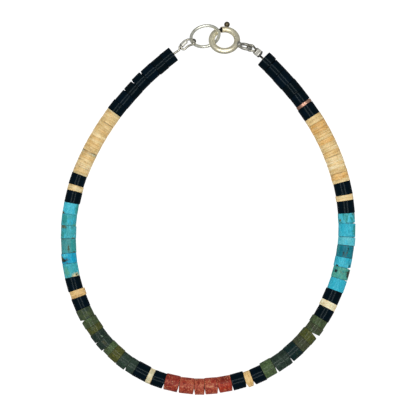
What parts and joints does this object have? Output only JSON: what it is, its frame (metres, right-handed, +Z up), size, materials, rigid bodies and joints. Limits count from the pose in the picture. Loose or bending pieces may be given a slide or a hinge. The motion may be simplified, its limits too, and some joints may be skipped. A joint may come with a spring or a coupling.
{
  "type": "heishi bracelet",
  "caption": "Beaded bracelet of drilled stone and shell discs on a beading wire, closed by a spring ring clasp and a jump ring, lying flat as an open loop.",
  "frame": {"origin": "on the table, under the middle of the bracelet's box", "axes": "+Z up from the table; +Y from the beads opposite the clasp towards the clasp; +X to the right, towards the end that holds the spring ring"},
  "size_m": [0.056, 0.071, 0.0046],
  "materials": {
    "jet": "polished blue-black jet, glossy",
    "shell": "ground buff to cream shell, satin",
    "turquoise": "polished turquoise with brown matrix",
    "green_stone": "polished serpentine, olive to dark green",
    "coral_shell": "polished orange-red shell with tan streaks",
    "copper": "bright copper",
    "silver": "worn silver with warm darker hollows",
    "beading_wire": "dull grey twisted wire"
  },
  "bodies": {
    "bracelet": {"jet_run_left": "jet", "shell_run_left": "shell", "jet_bead_1": "jet", "shell_bead_1": "shell", "jet_bead_2": "jet", "turquoise_run_left": "turquoise", "jet_bead_3": "jet", "shell_bead_2": "shell", "jet_bead_4": "jet", "green_run_left": "green_stone", "jet_bead_5": "jet", "shell_bead_3": "shell", "jet_bead_6": "jet", "coral_run": "coral_shell", "jet_bead_7": "jet", "shell_bead_4": "shell", "jet_bead_8": "jet", "green_run_right": "green_stone", "jet_bead_9": "jet", "shell_bead_5": "shell", "jet_bead_10": "jet", "turquoise_run_right": "turquoise", "jet_bead_11": "jet", "shell_bead_6": "shell", "jet_bead_12": "jet", "shell_run_right": "shell", "jet_bead_13": "jet", "copper_disc": "copper", "jet_run_right": "jet", "beading_wire": "beading_wire", "crimp_left": "silver", "crimp_right": "silver", "jump_ring": "silver", "spring_ring": "silver"},
    "bolt": {"bolt": "silver"}
  },
  "joints": [
    {"name": "clasp_bolt", "type": "hinge", "parent": "bracelet", "child": "bolt", "pos_m": [0.00309, 0.03183, 0.00228], "axis": [0, -0.4848, -0.8746], "range_deg": [0, 31], "stiffness_Nm_per_rad": 0.002}
  ]
}
